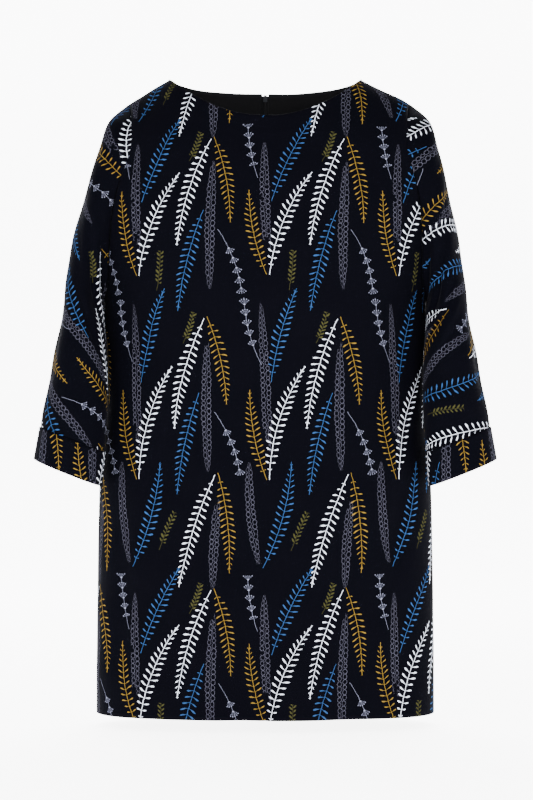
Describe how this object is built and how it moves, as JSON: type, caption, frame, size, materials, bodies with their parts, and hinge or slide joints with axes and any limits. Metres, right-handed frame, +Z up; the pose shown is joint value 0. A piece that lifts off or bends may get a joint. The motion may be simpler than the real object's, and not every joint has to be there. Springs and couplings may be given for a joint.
{
  "type": "shift dress",
  "caption": "Loose shift dress with a wide boat neck, set-in three-quarter sleeves with turned cuffs and a short centre-back zip, in its hollow worn form",
  "frame": {"origin": "midway between the two neck points, at the height where the shoulders carry the dress", "axes": "+Z up along the body, -Y out of the front, +Y out of the back, +X to the wearer's left"},
  "size_m": [0.6712, 0.22, 0.934],
  "materials": {
    "printed_cloth": "matte cotton sateen, printed on a blue-black ground",
    "plain_cloth": "matte plain black",
    "zip_tape": "woven polyester",
    "zip_coil": "matte nylon",
    "zip_metal": "gunmetal plated zinc"
  },
  "bodies": {
    "dress": {"front_panel": "printed_cloth", "back_panel_left": "printed_cloth", "back_panel_right": "printed_cloth", "sleeve_left": "printed_cloth", "sleeve_right": "printed_cloth", "cuff_left": "printed_cloth", "cuff_right": "printed_cloth", "neck_facing_left": "plain_cloth", "neck_facing_right": "plain_cloth", "zip_tape_left": "zip_tape", "zip_tape_right": "zip_tape", "zip_coil": "zip_coil", "zip_slider": "zip_metal"},
    "zip_pull": {"zip_pull": "zip_metal"}
  },
  "joints": [
    {"name": "pull_swing", "type": "hinge", "parent": "dress", "child": "zip_pull", "pos_m": [0, 0.06662, -0.01768], "axis": [1, 0, 0], "range_deg": [0, 160]}
  ]
}
